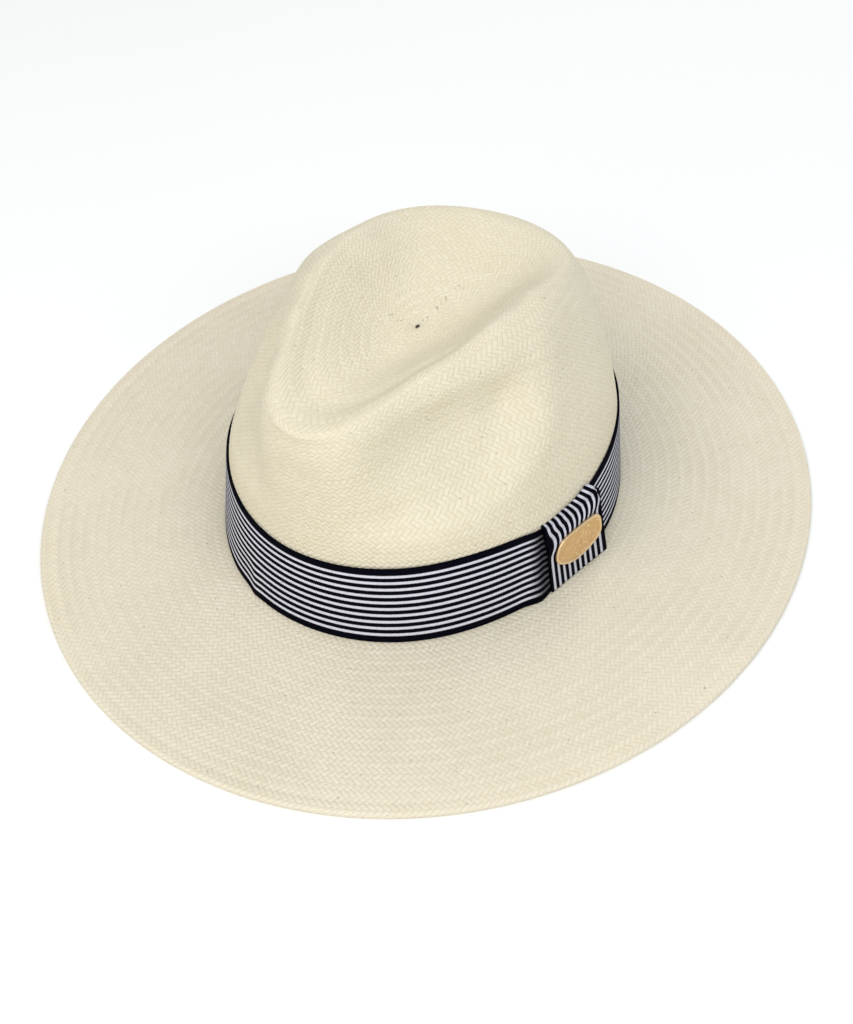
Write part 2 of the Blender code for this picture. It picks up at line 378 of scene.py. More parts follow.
    @cached_property
    def brim_reach(self) -> float:
        """Mean distance from the hem line to the crown's foot."""
        angle = whole_ring(self.meridians)[:-1]
        return float(np.linalg.norm(self.crown_foot(angle) - self.hem_line(angle), axis=1).mean())


@dataclass(frozen=True)
class Ring:
    """One closed ring of vertices in a shell.

    Attributes:
        start: Number of its first vertex.
        count: How many vertices it has.
        phase: Where the first one stands, in steps.
        level: Its level in the weave, or its height across a ribbon.
    """

    start: int
    count: int
    phase: float
    level: float


class Shell:
    """Rings of vertices joined by strips of triangles, with a place on the cloth at each corner."""

    def __init__(self) -> None:
        """Start with no rings."""
        self.points: list[Array] = []
        self.marks: list[Array] = []
        self.triangles: list[Array] = []
        self.corners: list[Array] = []
        self.size = 0

    def ring(self, points: Array, level: float, phase: float = 0.0, marks: Array | float = 0.0) -> Ring:
        """Add a ring of vertices.

        Args:
            points: Points round the ring.
            level: The ring's place across the cloth.
            phase: Where the first point stands, in steps.
            marks: The mark at each point, from 0 to 1: painted shade on straw and ribbon, a painted
                highlight on the plate.

        Returns:
            The new ring.
        """
        made = Ring(self.size, len(points), phase, level)
        self.points.append(points)
        self.marks.append(np.broadcast_to(np.asarray(marks, float), (len(points),)))
        self.size += len(points)
        return made

    def strip(self, lower: Ring, upper: Ring, columns: float) -> None:
        """Fill between two rings, which may have different numbers of vertices.

        Args:
            lower: The ring that the strip leaves.
            upper: The ring that it reaches.
            columns: How many columns of cloth the strip has all the way round.
        """
        a, b = np.arange(lower.count), np.arange(upper.count)
        middle_a = (a + 0.5 + lower.phase) / lower.count
        middle_b = (b + 0.5 + upper.phase) / upper.count
        over_a = np.searchsorted(middle_b, middle_a, side="left")
        under_b = np.searchsorted(middle_a, middle_b, side="right")
        self._add(np.stack([a, a + 1, over_a], axis=1), (lower, lower, upper), columns)
        self._add(np.stack([under_b, b + 1, b], axis=1), (lower, upper, upper), columns)

    def join(self, rings: list[Ring], columns: float) -> None:
        """Fill between each ring and the next."""
        for lower, upper in zip(rings, rings[1:]):
            self.strip(lower, upper, columns)

    def _add(self, steps: Array, rings: tuple[Ring, Ring, Ring], columns: float) -> None:
        """Add triangles whose corners are counted along three rings.

        Args:
            steps: The corners' steps along their rings.
            rings: The ring of each corner.
            columns: How many columns of cloth lie all the way round.
        """
        numbers, places = [], []
        for step, ring in zip(steps.T, rings):
            numbers.append(ring.start + step % ring.count)
            column = (step + ring.phase) / ring.count * columns
            places.append(np.stack([np.full(len(step), ring.level), column], axis=1))
        self.triangles.append(np.stack(numbers, axis=1))
        self.corners.append(np.stack(places, axis=1))

    def cap(self, ring: Ring, centre: Array, facing_up: bool, columns: float) -> None:
        """Close a ring with triangles that meet in a point.

        Args:
            ring: The ring to close.
            centre: The point.
            facing_up: Whether the ring runs anticlockwise seen from outside.
            columns: How many columns of cloth lie all the way round.
        """
        tip = self.ring(centre[None], ring.level + 1)
        step = np.arange(ring.count)
        edge = (step, step + 1) if facing_up else (step + 1, step)
        self._add(np.stack([*edge, 0 * step], axis=1), (ring, ring, tip), columns)

    def to_object(self, name: str) -> bpy.types.Object:
        """Make the mesh, in metres, and its object.

        Args:
            name: The name of both.

        Returns:
            The object, linked to the scene.
        """
        points = np.concatenate(self.points) * MM
        triangles = np.concatenate(self.triangles).astype(np.int32)
        starts = np.arange(0, triangles.size, 3, dtype=np.int32)
        mesh = bpy.data.meshes.new(name)
        mesh.vertices.add(len(points))
        mesh.vertices.foreach_set("co", points.astype(np.float32).ravel())
        mesh.loops.add(triangles.size)
        mesh.loops.foreach_set("vertex_index", triangles.ravel())
        mesh.polygons.add(len(triangles))
        mesh.polygons.foreach_set("loop_start", starts)
        mesh.polygons.foreach_set("loop_total", np.full_like(starts, 3))
        mesh.update(calc_edges=True)
        layer = mesh.uv_layers.new(name="cloth")
        layer.data.foreach_set("uv", np.concatenate(self.corners).astype(np.float32).ravel())
        marks = mesh.attributes.new("gap", "FLOAT", "POINT")
        marks.data.foreach_set("value", np.concatenate(self.marks).astype(np.float32))
        mesh.shade_smooth()
        mesh.validate()
        made = bpy.data.objects.new(name, mesh)
        bpy.context.scene.collection.objects.link(made)
        return made


def dress(piece: bpy.types.Object, material: bpy.types.Material, node: str) -> None:
    """Give a piece its finish, its body and the solid that it stands for.

    Args:
        piece: The piece.
        material: Its finish.
        node: The solid that it replaces.
    """
    piece.data.materials.append(material)
    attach(piece, BODY)
    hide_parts(node)
    log.info("%s: %d triangles", piece.name, len(piece.data.polygons))


class Value:
    """A value in a material's nodes, with which more can be reckoned."""

    def __init__(self, writer: ShaderWriter, socket: bpy.types.NodeSocket) -> None:
        """Hold the socket that gives the value, and the writer of its material."""
        self.writer = writer
        self.socket = socket

    def __add__(self, other: Value | float) -> Value:
        """Add another value."""
        return self.writer.math("ADD", self, other)

    def __sub__(self, other: Value | float) -> Value:
        """Take another value away."""
        return self.writer.math("SUBTRACT", self, other)

    def __rsub__(self, other: float) -> Value:
        """Take the value away from a number."""
        return self.writer.math("SUBTRACT", other, self)

    def __mul__(self, other: Value | float) -> Value:
        """Multiply by another value."""
        return self.writer.math("MULTIPLY", self, other)

    def __mod__(self, other: float) -> Value:
        """Give what is left over whole steps of a number."""
        return self.writer.math("FLOORED_MODULO", self, other)

    def __abs__(self) -> Value:
        """Give the size without the sign."""
        return self.writer.math("ABSOLUTE", self)


class ShaderWriter:
    """Writes a material's nodes; every method that reckons returns the value of its result."""

    def __init__(self, name: str) -> None:
        """Start a material of that name with an empty Principled shader."""
        self.material = bpy.data.materials.new(name)
        self.material.use_nodes = True
        self.tree = self.material.node_tree
        self.shader = self.tree.nodes["Principled BSDF"]

    def put(self, value: Value | float | Colour, socket: bpy.types.NodeSocket) -> None:
        """Link a value to a socket, or set the socket's constant.

        Args:
            value: A value or a constant.
            socket: The socket to feed.
        """
        if isinstance(value, Value):
            self.tree.links.new(value.socket, socket)
        else:
            socket.default_value = value

    def node(self, kind: str, *values: Value | float | Colour, **settings: str) -> bpy.types.Node:
        """Add a node.

        Args:
            kind: Its kind, without the leading word that all kinds share.
            values: What its first sockets are fed.
            settings: Its settings.

        Returns:
            The node.
        """
        made = self.tree.nodes.new("ShaderNode" + kind)
        for name, setting in settings.items():
            setattr(made, name, setting)
        for value, socket in zip(values, made.inputs):
            self.put(value, socket)
        return made

    def set(self, **values: Value | float | Colour) -> None:
        """Feed the shader's sockets, named with underscores for spaces."""
        for name, value in values.items():
            self.put(value, self.shader.inputs[name.replace("_", " ")])

    def math(self, operation: str, *values: Value | float) -> Value:
        """Join values by one operation of the Math node."""
        return Value(self, self.node("Math", *values, operation=operation).outputs[0])

    def ease(self, value: Value, low: float, high: float) -> Value:
        """Ease a value from 0 at low to 1 at high."""
        node = self.node("MapRange", value, low, high, interpolation_type="SMOOTHSTEP")
        return Value(self, node.outputs["Result"])

    def mix(self, factor: Value, first: Value | Colour, second: Value | Colour) -> Value:
        """Mix two colours.

        Args:
            factor: Share of the second.
            first: The first colour.
            second: The second colour.

        Returns:
            The mixed colour.
        """
        node = self.node("Mix", factor, data_type="RGBA")
        a, b, result = 6, 7, 2
        self.put(first, node.inputs[a])
        self.put(second, node.inputs[b])
        return Value(self, node.outputs[result])

    def vector(self, *parts: Value) -> Value:
        """Join up to three values into a vector."""
        return Value(self, self.node("CombineXYZ", *parts).outputs[0])

    def noise(self, at: Value, scale: float, detail: float = 2.0) -> Value:
        """Read smooth noise, about 0.5 on average.

        Args:
            at: Where it is read.
            scale: Its fineness.
            detail: How many finer layers it has.

        Returns:
            The noise.
        """
        node = self.node("TexNoise")
        self.put(at, node.inputs["Vector"])
        node.inputs["Scale"].default_value = scale
        node.inputs["Detail"].default_value = detail
        return Value(self, node.outputs[0])

    def chance(self, at: Value) -> Value:
        """Draw a random value from 0 to 1 that belongs to a place."""
        return Value(self, self.node("TexWhiteNoise", at).outputs[0])

    def cloth_place(self) -> tuple[Value, Value]:
        """Read the level and the column on the cloth."""
        source = Value(self, self.node("UVMap", uv_map="cloth").outputs[0])
        level, column, _ = self.node("SeparateXYZ", source).outputs
        return Value(self, level), Value(self, column)

    def mark(self) -> Value:
        """Read the mark at a place: painted shade on straw and ribbon, a painted highlight on the plate.
        """
        return Value(self, self.node("Attribute", attribute_name="gap").outputs["Fac"])

    def on_object(self) -> Value:
        """Read the place on the object, in metres."""
        return Value(self, self.node("TexCoord").outputs["Object"])

    def bump(self, height: Value, distance: float) -> Value:
        """Turn a height into a normal.

        Args:
            height: Height from 0 to 1.
            distance: How far 1 stands up, in metres.

        Returns:
            The normal.
        """
        node = self.node("Bump")
        node.inputs["Distance"].default_value = distance
        self.put(height, node.inputs["Height"])
        return Value(self, node.outputs[0])


class Finish:
    """A procedural material, whose nodes each kind of finish writes in its own way."""

    def material(self, name: str) -> bpy.types.Material:
        """Make the material.

        Args:
            name: Its name.

        Returns:
            The material.
        """
        writer = ShaderWriter(name)
        self.write(writer)
        return writer.material

    def write(self, w: ShaderWriter) -> None:
        """Write the nodes with the material's writer."""
        raise NotImplementedError


@dataclass(frozen=True)
class StrawFinish(Finish):
    """Pale woven straw: strands of slightly different tones, with painted shade between them and where a
    gap opens.

    Attributes:
        pale: Colour of a pale strand.
        deep: Colour of a darker strand.
        gap: Colour of the painted shade between the strands and in the valleys between the rings.
        hole: Colour of the painted shade in an open gap, the dark inside that shows through it.
        hem: Warmer colour of the folded hem, and hem_share is how much of it shows.
        hem_end: Levels in the weave over which the hem ends.
        strand_edge: Distance from its middle over which a strand rounds off.
        float_end: Distance from its end over which a float rises.
        waist: Distance from its middle over which a float dips, and waist_dip how far.
        fibres: How many fibres lie side by side in a strand, and fibre_height how high.
        tone_run: Share of a tone that one chevron takes up along a strand.
        shares: How much a strand's tone, the straw's patches and the fibres count for.
        seam: How far under a strand's back the painted shade between strands starts and is full, and
            seam_shade how strong it is.
        ring_shade: How much painted shade darkens the straw in the valleys between the rings of
            chevrons.
        marked: Marks at which the painted shade of an open gap starts to show and is full.
        strand_bump: Height of a strand for shading, in metres.
    """

    pale: Colour = (0.752, 0.694, 0.568, 1)
    deep: Colour = (0.698, 0.632, 0.495, 1)
    gap: Colour = (0.56, 0.49, 0.36, 1)
    hole: Colour = (0.07, 0.055, 0.035, 1)
    hem: Colour = (0.80, 0.71, 0.565, 1)
    hem_share: float = 0.35
    hem_end: Pair = (4.7, 3.3)
    strand_edge: Pair = (0.22, 0.52)
    float_end: Pair = (-0.12, 0.34)
    waist: Pair = (0.18, 0.02)
    waist_dip: float = 0.4
    fibres: float = 9.0
    fibre_height: float = 0.15
    tone_run: float = 0.125
    patch: Pair = (22.0, 3.0)
    patch_edge: Pair = (0.3, 0.7)
    shares: tuple[float, float, float] = (0.55, 0.45, 0.5)
    seam: Pair = (0.5, 1.0)
    seam_shade: float = 0.42
    ring_shade: float = 0.13
    marked: Pair = (0.35, 1.1)
    strand_bump: float = 0.00022
    roughness: float = 0.6
    shine: float = 0.25

    def write(self, w: ShaderWriter) -> None:
        """Write the strands, which run as in Weave.height, and their tones.

        Args:
            w: The material's writer.
        """
        level, column = w.cloth_place()
        i, j = (level + column) * 0.5, (level - column) * 0.5
        floor_i, floor_j = w.math("FLOOR", i), w.math("FLOOR", j)
        is_weft = w.math("GREATER_THAN", (floor_i + floor_j) % 4.0, 1.5)
        is_warp = 1.0 - is_weft

        def either(warp: Value, weft: Value) -> Value:
            """Choose between the two families of strands."""
            return warp * is_warp + weft * is_weft

        across = either(w.math("FRACT", i), w.math("FRACT", j)) - 0.5
        along = either(j, i)
        run = either((floor_i + j) % 4.0, (i + floor_j) % 4.0 - 2.0) * 0.5
        strand = either(floor_i, floor_j) + is_weft * 1000.0
        off_middle = abs(run - 0.5)
        body = 1.0 - w.ease(abs(across), *self.strand_edge)
        dip = 1.0 - w.ease(off_middle, *self.waist) * self.waist_dip
        lift = w.ease(0.5 - off_middle, *self.float_end) * dip
        fibre = w.noise(w.vector(across * self.fibres, along, strand), 1.0, 3.0)
        height = body * lift + fibre * self.fibre_height

        by_tone, by_patch, by_fibre = self.shares
        tone = w.chance(w.vector(strand, w.math("FLOOR", along * self.tone_run)))
        patch = w.noise(w.on_object(), *self.patch)
        blend = tone * by_tone + patch * by_patch + (fibre - 0.5) * by_fibre
        colour = w.mix(blend, self.pale, self.deep)
        colour = w.mix(w.ease(level, *self.hem_end) * self.hem_share, colour, self.hem)
        # Painted shade in the low seams between the strands.
        colour = w.mix(w.ease(1.0 - height, *self.seam) * self.seam_shade, colour, self.gap)
        # Painted shade in the valleys between the rings of chevrons.
        ring = (w.math("SINE", level * (FULL_TURN / 4)) + 1.0) * self.ring_shade
        colour = w.mix(ring * w.ease(patch, *self.patch_edge), colour, self.gap)
        # Painted shade where the mark is set: open gaps, the rosette's hole and lines, the hem's
        # stitches.
        colour = w.mix(w.ease(w.mark(), *self.marked), colour, self.hole)
        w.set(Base_Color=colour, Roughness=self.roughness, Specular_IOR_Level=self.shine)
        w.set(Normal=w.bump(height, self.strand_bump))


@dataclass(frozen=True)
class RibbonFinish(Finish):
    """Ribbed ribbon with white stripes between navy edges.

    Attributes:
        first_stripe: Middle of the lowest white stripe, above the ribbon's lower edge.
        pitch: Distance from one stripe to the next.
        stripe: Width of a white stripe, and stripe_blur half the width of its soft edge.
        stripes: How many there are.
        rib: Distance from one cross rib to the next, and tooth how far it shifts a stripe's edge.
        fray: How unevenly a stripe's edge runs, and fray_scale how finely.
        threads: How many threads lie across each millimetre.
        rib_bump: Height of ribs and threads for shading, in metres.
    """

    first_stripe: float = 4.45
    pitch: float = 3.47
    stripe: float = 1.42
    stripe_blur: float = 0.12
    stripes: int = 10
    rib: float = 0.85
    tooth: float = 0.06
    fray: float = 0.25
    fray_scale: float = 1.3
    threads: float = 7.0
    white: Colour = (0.74, 0.74, 0.83, 1)
    grey: Colour = (0.56, 0.56, 0.65, 1)
    navy: Colour = (0.001, 0.001, 0.003, 1)
    faded_navy: Colour = (0.003, 0.003, 0.008, 1)
    rib_bump: float = 0.00012
    roughness: float = 0.8
    shine: float = 0.02

    def write(self, w: ShaderWriter) -> None:
        """Write stripes, ribs, threads and the painted shadow that the mark sets.

        Args:
            w: The material's writer.
        """
        height, along = w.cloth_place()
        wave = w.math("SINE", along * (FULL_TURN / self.rib))
        fray = (w.noise(w.vector(along, height), self.fray_scale) - 0.5) * self.fray
        place = height + wave * self.tooth + fray - (self.first_stripe - self.pitch / 2)
        inside = place * (1 / (self.pitch * self.stripes))
        within = w.ease(inside, -0.001, 0.001) * w.ease(inside, 1.001, 0.999)
        edge, blur = self.stripe / 2, self.stripe_blur
        off_stripe = abs(place % self.pitch - self.pitch / 2)
        white = w.ease(off_stripe, edge + blur, edge - blur) * within
        thread = w.noise(w.vector(along, height * self.threads), 1.0, 2.0)
        pale, dark = w.mix(thread, self.white, self.grey), w.mix(thread, self.navy, self.faded_navy)
        # Painted shadow beside the loop: the mark mixes the ribbon towards navy.
        colour = w.mix(w.mark(), w.mix(white, dark, pale), self.navy)
        w.set(Base_Color=colour, Roughness=self.roughness, Specular_IOR_Level=self.shine)
        w.set(Normal=w.bump(wave * 0.5 + thread * 0.6, self.rib_bump))


@dataclass(frozen=True)
class PlateFinish(Finish):
    """Satin gold metal with a fine grain and bright specks of painted glint.

    Attributes:
        grain: Fineness and detail of the grain, as for stain and speck.
        glints: Noise at which a painted glint, a bright speck, starts and is full.
        roughness: How rough it is, and grain_roughness how much the grain adds.
    """

    gold: Colour = (0.83, 0.58, 0.32, 1)
    dull: Colour = (0.70, 0.46, 0.22, 1)
    # Colour of the painted glints and of the border's painted highlight.
    bright: Colour = (0.96, 0.76, 0.52, 1)
    grain: Pair = (900.0, 3.0)
    stain: Pair = (160.0, 2.0)
    speck: Pair = (620.0, 1.0)
    glints: Pair = (0.57, 0.72)
    roughness: float = 0.3
    grain_roughness: float = 0.2
    grain_bump: float = 0.00006

    def write(self, w: ShaderWriter) -> None:
        """Write grain, stains and painted glints.

        Args:
            w: The material's writer.
        """
        place = w.on_object()
        grain = w.noise(place, *self.grain)
        # Painted glints: bright specks, and the border's painted highlight from the mark.
        glints = w.math("MAXIMUM", w.ease(w.noise(place, *self.speck), *self.glints), w.mark())
        gold = w.mix(w.noise(place, *self.stain), self.gold, self.dull)
        w.set(Base_Color=w.mix(glints, gold, self.bright), Metallic=1.0)
        w.set(Roughness=grain * self.grain_roughness + self.roughness)
        w.set(Normal=w.bump(grain, self.grain_bump))


@dataclass(frozen=True)
class FloorFinish(Finish):
    """Plain pale floor, with a faint unevenness of tone."""

    pale: Colour = (0.92, 0.92, 0.92, 1)
    shade: Colour = (0.90, 0.90, 0.90, 1)
    roughness: float = 0.9

    def write(self, w: ShaderWriter) -> None:
        """Write the two tones."""
        drift = w.noise(w.on_object(), 1.5, 2.0)
        w.set(Base_Color=w.mix(drift, self.pale, self.shade), Roughness=self.roughness)


@dataclass(frozen=True)
class Row:
    """One ring of a woven face: its distance across, level, columns, angles and points."""

    at: float
    level: float
    column: Array
    angle: Array
    points: Array

    @property
    def crossings(self) -> Array:
        """Tell which points are crossings of strands, where a gap can open."""
        return np.mod((self.level + self.column) / 2, 1) == 0


@dataclass(frozen=True)
class Weave:
    """Lays strands over a surface as rings of slanted floats.

    Attributes:
        ring_step: Distance from one ring of vertices to the next: an eighth of a ring of chevrons.
        column_pitch: Distance from one chevron to the next round a ring.
        band: Levels between changes of the number of columns, so that their pitch stays even.
        relief: Height of a strand's back over the gaps.
        blur: How far the height is averaged, in strands.
        gap_share: Share of the strands' crossings at which a gap opens.
        gap_depth: How far the straw sinks at an open gap, and gap_shade how much painted shade it gets.
    """

    ring_step: float
    column_pitch: float
    band: int = 8
    relief: float = 0.155
    blur: float = 0.13
    gap_share: float = 0.003
    gap_depth: float = 0.3
    gap_shade: float = 0.82

    def height(self, level: float, column: Array) -> Array:
        """Give the height of the woven surface.

        Args:
            level: The level.
            column: The columns.

        Returns:
            Heights, from 0 between strands to 1 on a strand's back.
        """
        total = np.zeros_like(column)
        blur = (-self.blur, self.blur)
        for di, dj in ((di, dj) for di in blur for dj in blur):
            i, j = (level + column) / 2 + di, (level - column) / 2 + dj
            floor_i, floor_j = np.floor(i), np.floor(j)
            warp = np.mod(floor_i + floor_j, 4) < 2
            across = np.where(warp, i - floor_i, j - floor_j) - 0.5
            run = np.where(warp, np.mod(floor_i + j, 4), np.mod(i + floor_j, 4) - 2) / 2
            total += np.cos(math.pi * across) * np.sin(math.pi * np.clip(run, 0, 1))
        return total / 4

    def columns_round(self, length: float) -> int:
        """Number of columns that fit round a ring, an even one."""
        return 2 * max(round(length / self.column_pitch), 3)


@dataclass
class WovenFace:
    """One face of woven straw, laid ring by ring.

    Attributes:
        weave: How it is woven.
        surface: Gives points for a distance across the rings and angles.
        detail: Gives a further height and gap at each point of a row.
        start: Distance of the first ring.
        end: Distance of the last one.
        first_level: Level of the first ring.
        seed: Start of the random numbers.
        reach: Distance over which the slope across the rings is taken, and turn the angle round.
    """

    weave: Weave
    surface: Surface
    detail: Callable[[Row], tuple[Array, Array]]
    start: float
    end: float
    first_level: float
    seed: int
    reach: float = 0.6
    turn: float = 0.02

    @property
    def steps(self) -> int:
        """Number of steps from the first ring to the last."""
        return max(round((self.end - self.start) / self.weave.ring_step), 1)

    def distance(self, step: int) -> float:
        """Distance across the rings after a number of steps."""
        return self.start + (self.end - self.start) * step / self.steps

    def lay(self, shell: Shell, last: Ring) -> Ring:
        """Lay the face on from a ring.

        Args:
            shell: The shell that it is added to.
            last: The ring that it is joined to.

        Returns:
            The last ring.
        """
        draw = np.random.default_rng(self.seed)
        band, columns, last_columns = None, 0, 0
        for step in range(self.steps + 1):
            level = self.first_level + step / 2
            if level // self.weave.band != band:
                band = level // self.weave.band
                middle = min(self.distance(step + self.weave.band), self.end)
                columns = self.weave.columns_round(walk(self.surface(middle, whole_ring()))[-1])
            at = self.distance(step)
            phase = 0.5 * (round(level * 2) % 2)
            angle = spread_evenly(self.surface(at, whole_ring()), columns, phase)
            row = Row(at, level, np.arange(columns) + phase, angle, self.surface(at, angle))
            rise, marks = self.relief(row, draw)
            points = row.points + self.facing(at, angle) * rise[:, None]
            ring = shell.ring(points, level, phase, marks)
            shell.strip(last, ring, last_columns or columns)
            last, last_columns = ring, columns
        return last

    def relief(self, row: Row, draw: np.random.Generator) -> tuple[Array, Array]:
        """Raise a row into strands and open its gaps.

        Args:
            row: The row.
            draw: Source of random numbers.

        Returns:
            Heights over the surface, and how much painted shade each point gets.
        """
        weave = self.weave
        gaps = row.crossings * (draw.random(len(row.column)) < weave.gap_share)
        rise = (weave.height(row.level, row.column) - 0.5) * weave.relief
        more, marks = self.detail(row)
        # An open gap gets painted shade through its mark.
        return rise - gaps * weave.gap_depth + more, np.maximum(gaps * weave.gap_shade, marks)

    def facing(self, at: float, angle: Array) -> Array:
        """Find the surface's outward direction.

        Args:
            at: Distance across the rings.
            angle: Angles from the front.

        Returns:
            Directions of length 1.
        """
        ahead, behind = min(at + self.reach, self.end), at - self.reach
        along = self.surface(ahead, angle) - self.surface(behind, angle)
        around = self.surface(at, angle + self.turn) - self.surface(at, angle - self.turn)
        normal = np.cross(around, along)
        return normal / np.maximum(np.linalg.norm(normal, axis=1, keepdims=True), TINY)


@dataclass
class StrawBrim:
    """The wide brim, woven in one sheet whose edge is folded under and stitched down.

    Attributes:
        seam: Where the hem's seam runs inside the brim's edge, and how deep.
        stitch_shade: How dark a stitch is in the seam's groove, partly the stitch and partly painted
            shade, and stitch_columns how many columns one takes up.
        under_rings: Rings of the plain underside, and under_points the vertices of each.
    """

    form: HatForm
    weave: Weave = Weave(ring_step=0.7125, column_pitch=2.8)
    seam: Swell = Swell(6.3, 1.1, 0.3)
    stitch_shade: float = 0.5
    stitch_columns: int = 4
    fold_radius: float = 1.5
    under_rings: int = 10
    under_points: int = 240
    under_levels: float = 8.0
    seed: int = 3

    def under(self, inset: float, angle: Array) -> Array:
        """Points of the underside, a straw's thickness below the upper face."""
        return self.form.brim_top(inset, angle) - [0, 0, self.form.straw]

    def folded(self, at: float, angle: Array) -> Array:
        """Find points of the sheet, from the hem's underside round the fold to the upper face.

        Args:
            at: Distance along the sheet: below 0 on the round edge and under it.
            angle: Angles from the front.

        Returns:
            Points, one row each.
        """
        radius = self.fold_radius
        if at >= 0:
            return self.form.brim_top(radius + at, angle)
        turned = min(-at / radius, math.pi)
        run_under = max(-at - math.pi * radius, 0)
        inset = radius * (1 - math.sin(turned)) + run_under
        return self.form.brim_edge(inset, radius * (1 + math.cos(turned)), angle)

    def shape_hem(self, row: Row) -> tuple[Array, Array]:
        """Keep the underside flat, sink the seam, and darken its stitches, partly as stitches and partly
        as painted shade in the groove.

        Args:
            row: A row of the sheet.

        Returns:
            A further height, and how dark each point is with stitches and painted shade.
        """
        half_round = math.pi * self.fold_radius
        seam = self.seam.at(row.at + self.fold_radius)
        below = 1 - ease(row.at, -half_round, -half_round / 2)
        flat = (0.5 - self.weave.height(row.level, row.column)) * self.weave.relief
        stitch = np.mod(row.column, self.stitch_columns) < self.stitch_columns / 2
        # Stitches darkened in the groove: partly stitch, partly painted shade.
        return flat * below - seam, self.stitch_shade / self.seam.height * seam * stitch

    def build(self) -> bpy.types.Object:
        """Weave the brim: outwards below, round the hem and inwards to the crown's foot.

        Returns:
            The brim's object.
        """
        shell = Shell()
        form, radius = self.form, self.fold_radius
        foot = form.hem_inset + form.brim_reach
        rings = []
        for k in range(self.under_rings + 1):
            inset = foot + (form.hem_width - foot) * k / self.under_rings
            angle = spread_evenly(self.under(inset, whole_ring()), self.under_points)
            level = self.under_levels * (k - self.under_rings)
            rings.append(shell.ring(self.under(inset, angle), level))
        shell.join(rings, self.weave.columns_round(FULL_TURN * form.brim_half_width))
        hem = math.pi * radius + form.hem_width - radius
        level = -math.ceil(hem / self.weave.ring_step) / 2
        face = WovenFace(self.weave, self.folded, self.shape_hem, -hem, foot - radius, level, self.seed)
        last = face.lay(shell, rings[-1])
        shell.strip(last, rings[0], last.count)
        return shell.to_object("straw_brim")


